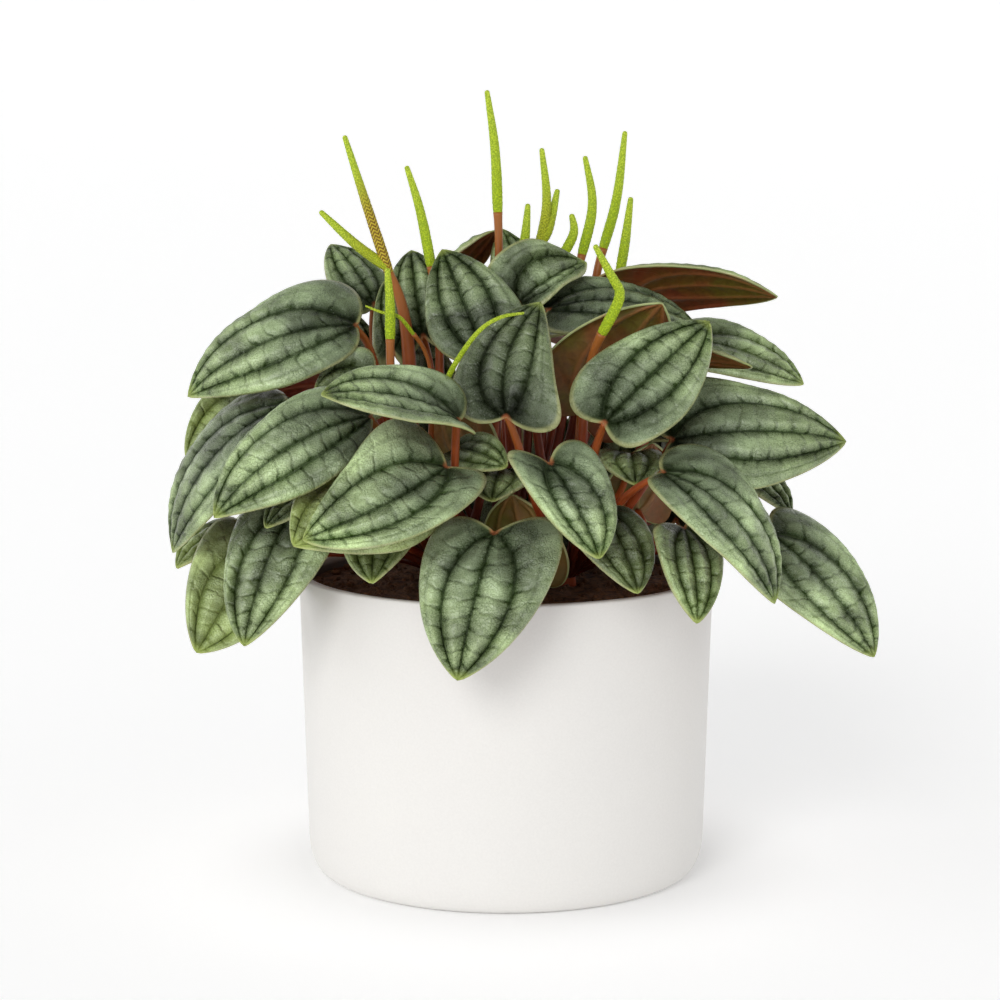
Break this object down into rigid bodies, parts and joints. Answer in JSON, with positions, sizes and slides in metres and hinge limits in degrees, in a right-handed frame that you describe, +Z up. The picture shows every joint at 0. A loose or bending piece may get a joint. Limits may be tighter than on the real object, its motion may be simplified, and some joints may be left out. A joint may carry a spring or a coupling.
{
  "type": "potted peperomia",
  "caption": "Bushy peperomia with ribbed heart-shaped leaves on red stalks and lime-green flower spikes, growing in a plain white cylindrical pot of dark soil.",
  "frame": {"origin": "centre of the flat foot of the pot, on the surface that it stands on", "axes": "+Z up along the pot's axis, -Y towards the viewer's side of the picture, +X to its right"},
  "size_m": [0.2474, 0.2248, 0.2821],
  "materials": {
    "pot_glaze": "satin white glaze",
    "soil": "rough, damp, fibrous potting soil",
    "stalk": "satin, fleshy red stalks",
    "leaf": "satin, ribbed, silvery green",
    "flower_spike": "matte, finely granular lime green"
  },
  "bodies": {
    "root": {"pot": "pot_glaze", "soil": "soil", "crown_1": "stalk", "crown_2": "stalk", "crown_3": "stalk", "leaf_01": "leaf", "leaf_02": "leaf", "leaf_03": "leaf", "leaf_04": "leaf", "leaf_05": "leaf", "leaf_06": "leaf", "leaf_07": "leaf", "leaf_08": "leaf", "leaf_09": "leaf", "leaf_10": "leaf", "leaf_11": "leaf", "leaf_12": "leaf", "leaf_13": "leaf", "leaf_14": "leaf", "leaf_15": "leaf", "leaf_16": "leaf", "leaf_17": "leaf", "leaf_18": "leaf", "leaf_19": "leaf", "leaf_20": "leaf", "leaf_21": "leaf", "leaf_22": "leaf", "leaf_23": "leaf", "leaf_24": "leaf", "leaf_25": "leaf", "leaf_26": "leaf", "leaf_27": "leaf", "leaf_28": "leaf", "leaf_29": "leaf", "leaf_30": "leaf", "leaf_31": "leaf", "leaf_32": "leaf", "leaf_33": "leaf", "leaf_34": "leaf", "leaf_35": "leaf", "leaf_36": "leaf", "leaf_37": "leaf", "leaf_38": "leaf", "leaf_39": "leaf", "leaf_40": "leaf", "leaf_41": "leaf", "leaf_42": "leaf", "leaf_43": "leaf", "leaf_44": "leaf", "spike_01": "flower_spike", "spike_02": "flower_spike", "spike_03": "flower_spike", "spike_04": "flower_spike", "spike_05": "flower_spike", "spike_06": "flower_spike", "spike_07": "flower_spike", "spike_08": "flower_spike", "spike_09": "flower_spike", "spike_10": "flower_spike", "spike_11": "flower_spike"}
  },
  "joints": []
}
